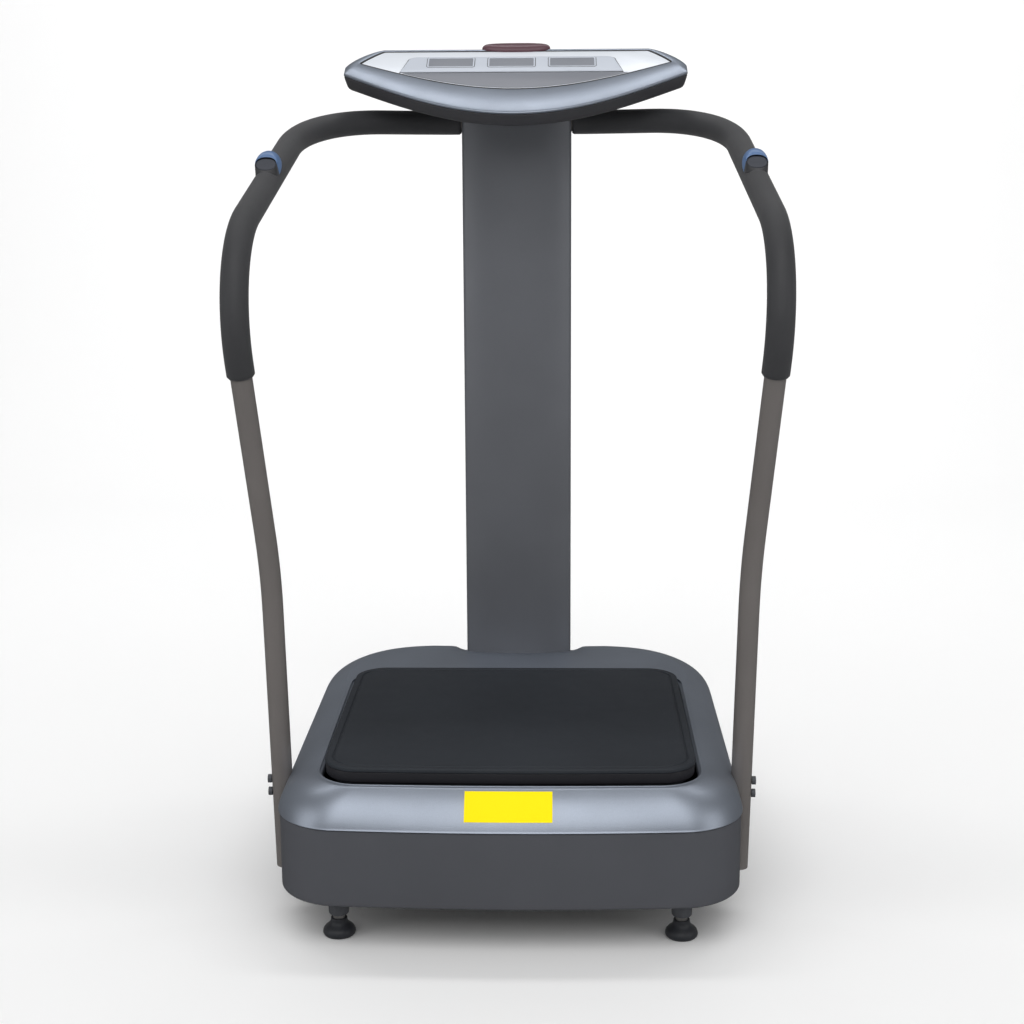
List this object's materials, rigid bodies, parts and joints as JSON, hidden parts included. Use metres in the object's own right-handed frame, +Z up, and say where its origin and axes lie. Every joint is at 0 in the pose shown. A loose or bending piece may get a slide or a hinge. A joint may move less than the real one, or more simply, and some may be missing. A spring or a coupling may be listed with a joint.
{
  "type": "vibration plate",
  "caption": "Standing vibration plate: a tilting platform in a low moulded base, a flat column with a display console, and two bent handrails with foam grips.",
  "frame": {"origin": "on the floor, under the middle of the base, with the feet screwed fully in", "axes": "+Z up, +Y from the user towards the column, +X to the user's right"},
  "size_m": [0.7146, 0.73, 1.1821],
  "materials": {
    "powder_coat": "fine powder coat",
    "column_grey": "fine textured powder coat",
    "skirt_grey": "moulded, fine grain",
    "pan_black": "moulded",
    "cover_silver": "metallic paint, satin",
    "label_yellow": "printed film, blank",
    "console_silver": "metallic paint, satin",
    "console_grey": "moulded, fine grain",
    "panel_white": "printed overlay",
    "display_frame": "satin",
    "display_window": "clear lens over a grey display",
    "keypad_grey": "membrane film",
    "lens_red": "dark translucent",
    "circuit_board": "solder mask",
    "display_black": "moulded",
    "zinc_steel": "zinc plated",
    "rail_paint": "satin paint",
    "grip_foam": "closed-cell foam",
    "pod_blue": "satin",
    "button_grey": "soft matte",
    "mat_rubber": "moulded, fine grain",
    "tray_black": "moulded",
    "shaft_steel": "ground",
    "motor_case": "die cast, painted",
    "cast_metal": "die cast",
    "belt_rubber": "ribbed",
    "foot_rubber": "moulded",
    "wheel_rubber": "moulded",
    "switch_black": "moulded",
    "cable_black": "extruded"
  },
  "bodies": {
    "base": {"rail_bolts": "powder_coat", "chassis_frame": "powder_coat", "column_post": "powder_coat", "pivot_blocks": "powder_coat", "motor_mount": "powder_coat", "crank_stand": "powder_coat", "column_front": "column_grey", "column_back": "column_grey", "skirt": "skirt_grey", "bottom_pan": "pan_black", "top_cover": "cover_silver", "front_label": "label_yellow", "console_upper_shell": "console_silver", "console_lower_shell": "console_grey", "console_faceplate": "panel_white", "display_frame": "display_frame", "display_windows": "display_window", "keypad_film": "keypad_grey", "infrared_lens": "lens_red", "control_board": "circuit_board", "driver_board": "circuit_board", "display_modules": "display_black", "post_bolts": "zinc_steel", "console_screws": "zinc_steel", "wheel_axles": "zinc_steel", "rail_socket": "zinc_steel", "rail_left": "rail_paint", "rail_right": "rail_paint", "grip_left": "grip_foam", "grip_right": "grip_foam", "pod_left": "pod_blue", "pod_right": "pod_blue", "crank_bearings": "shaft_steel", "motor_body": "motor_case", "drive_belt": "belt_rubber", "power_inlet": "switch_black", "signal_cable": "cable_black"},
    "platform": {"platform_mat": "mat_rubber", "platform_tray": "tray_black", "platform_plate": "powder_coat", "pivot_shaft": "shaft_steel"},
    "crank": {"crankshaft": "shaft_steel", "driven_pulley": "cast_metal"},
    "rod": {"connecting_rod": "cast_metal", "rod_bearing": "shaft_steel"},
    "motor_shaft": {"motor_rotor": "shaft_steel", "motor_pulley": "cast_metal"},
    "left_button": {"button_left": "button_grey"},
    "right_button": {"button_right": "button_grey"},
    "foot_front_left": {"foot_stud_front_left": "zinc_steel", "foot_pad_front_left": "foot_rubber"},
    "foot_front_right": {"foot_stud_front_right": "zinc_steel", "foot_pad_front_right": "foot_rubber"},
    "foot_rear_left": {"foot_stud_rear_left": "zinc_steel", "foot_pad_rear_left": "foot_rubber"},
    "foot_rear_right": {"foot_stud_rear_right": "zinc_steel", "foot_pad_rear_right": "foot_rubber"},
    "left_wheel": {"wheel_left": "wheel_rubber"},
    "right_wheel": {"wheel_right": "wheel_rubber"},
    "switch": {"power_switch": "switch_black"}
  },
  "joints": [
    {"name": "platform_tilt", "type": "hinge", "parent": "base", "child": "platform", "pos_m": [0, -0.084, 0.15], "axis": [0, 1, 0], "range_deg": [-1.5, 1.5]},
    {"name": "crank_spin", "type": "hinge", "parent": "base", "child": "crank", "pos_m": [0.115, -0.12, 0.14], "axis": [0, 1, 0], "continuous": true},
    {"name": "rod_pivot", "type": "hinge", "parent": "crank", "child": "rod", "pos_m": [0.118, -0.12, 0.14], "axis": [0, 1, 0], "continuous": true},
    {"name": "motor_spin", "type": "hinge", "parent": "base", "child": "motor_shaft", "pos_m": [-0.115, -0.1, 0.14], "axis": [0, 1, 0], "continuous": true},
    {"name": "left_button_press", "type": "slide", "parent": "base", "child": "left_button", "axis": [0.0492, 0.8482, -0.5274], "range_m": [0, 0.0015], "stiffness_N_per_m": 400},
    {"name": "right_button_press", "type": "slide", "parent": "base", "child": "right_button", "axis": [-0.0492, 0.8482, -0.5274], "range_m": [0, 0.0015], "stiffness_N_per_m": 400},
    {"name": "foot_front_left_height", "type": "slide", "parent": "base", "child": "foot_front_left", "axis": [0, 0, -1], "range_m": [0, 0.012]},
    {"name": "foot_front_right_height", "type": "slide", "parent": "base", "child": "foot_front_right", "axis": [0, 0, -1], "range_m": [0, 0.012]},
    {"name": "foot_rear_left_height", "type": "slide", "parent": "base", "child": "foot_rear_left", "axis": [0, 0, -1], "range_m": [0, 0.012]},
    {"name": "foot_rear_right_height", "type": "slide", "parent": "base", "child": "foot_rear_right", "axis": [0, 0, -1], "range_m": [0, 0.012]},
    {"name": "left_wheel_roll", "type": "hinge", "parent": "base", "child": "left_wheel", "pos_m": [-0.184, 0.332, 0.032], "axis": [1, 0, 0], "continuous": true},
    {"name": "right_wheel_roll", "type": "hinge", "parent": "base", "child": "right_wheel", "pos_m": [0.184, 0.332, 0.032], "axis": [1, 0, 0], "continuous": true},
    {"name": "switch_rock", "type": "hinge", "parent": "base", "child": "switch", "pos_m": [-0.054, 0.359, 0.112], "axis": [-1, 0, 0], "range_deg": [0, 20]}
  ],
  "couplings": [
    {"joint": "rod_pivot", "follows": "crank_spin", "ratio": -1},
    {"joint": "motor_spin", "follows": "crank_spin", "ratio": 2.25}
  ]
}
